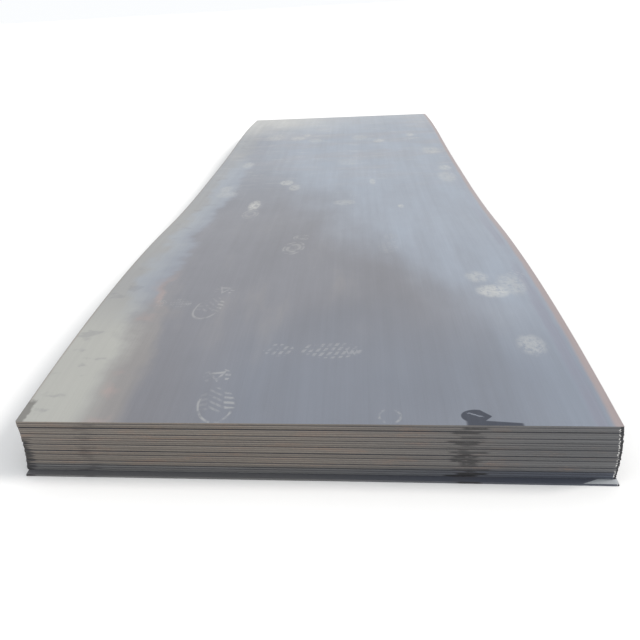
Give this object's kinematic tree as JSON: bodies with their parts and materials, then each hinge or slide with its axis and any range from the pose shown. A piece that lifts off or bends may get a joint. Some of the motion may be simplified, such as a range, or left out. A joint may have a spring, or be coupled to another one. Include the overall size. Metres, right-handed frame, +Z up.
{
  "type": "stack of steel plates",
  "caption": "Stack of large thin steel plates lying flat one on another, gently waved along the length, with slightly uneven edges and a dusty mill-scale top.",
  "frame": {"origin": "centre of the stack's footprint, on the level surface it lies on", "axes": "+X across the plates, +Y along their length from the near end to the far end, +Z up"},
  "size_m": [1.5054, 5.0164, 0.1972],
  "materials": {
    "mill_scale_steel": "hot-rolled, grey-blue mill scale, dull"
  },
  "bodies": {
    "root": {"plate_01": "mill_scale_steel", "plate_02": "mill_scale_steel", "plate_03": "mill_scale_steel", "plate_04": "mill_scale_steel", "plate_05": "mill_scale_steel", "plate_06": "mill_scale_steel", "plate_07": "mill_scale_steel", "plate_08": "mill_scale_steel", "plate_09": "mill_scale_steel", "plate_10": "mill_scale_steel", "plate_11": "mill_scale_steel", "plate_12": "mill_scale_steel", "plate_13": "mill_scale_steel", "plate_14": "mill_scale_steel", "plate_15": "mill_scale_steel", "plate_16": "mill_scale_steel", "plate_17": "mill_scale_steel", "plate_18": "mill_scale_steel", "plate_19": "mill_scale_steel", "plate_20": "mill_scale_steel", "plate_21": "mill_scale_steel", "plate_22": "mill_scale_steel", "plate_23": "mill_scale_steel", "plate_24": "mill_scale_steel", "plate_25": "mill_scale_steel"}
  },
  "joints": []
}
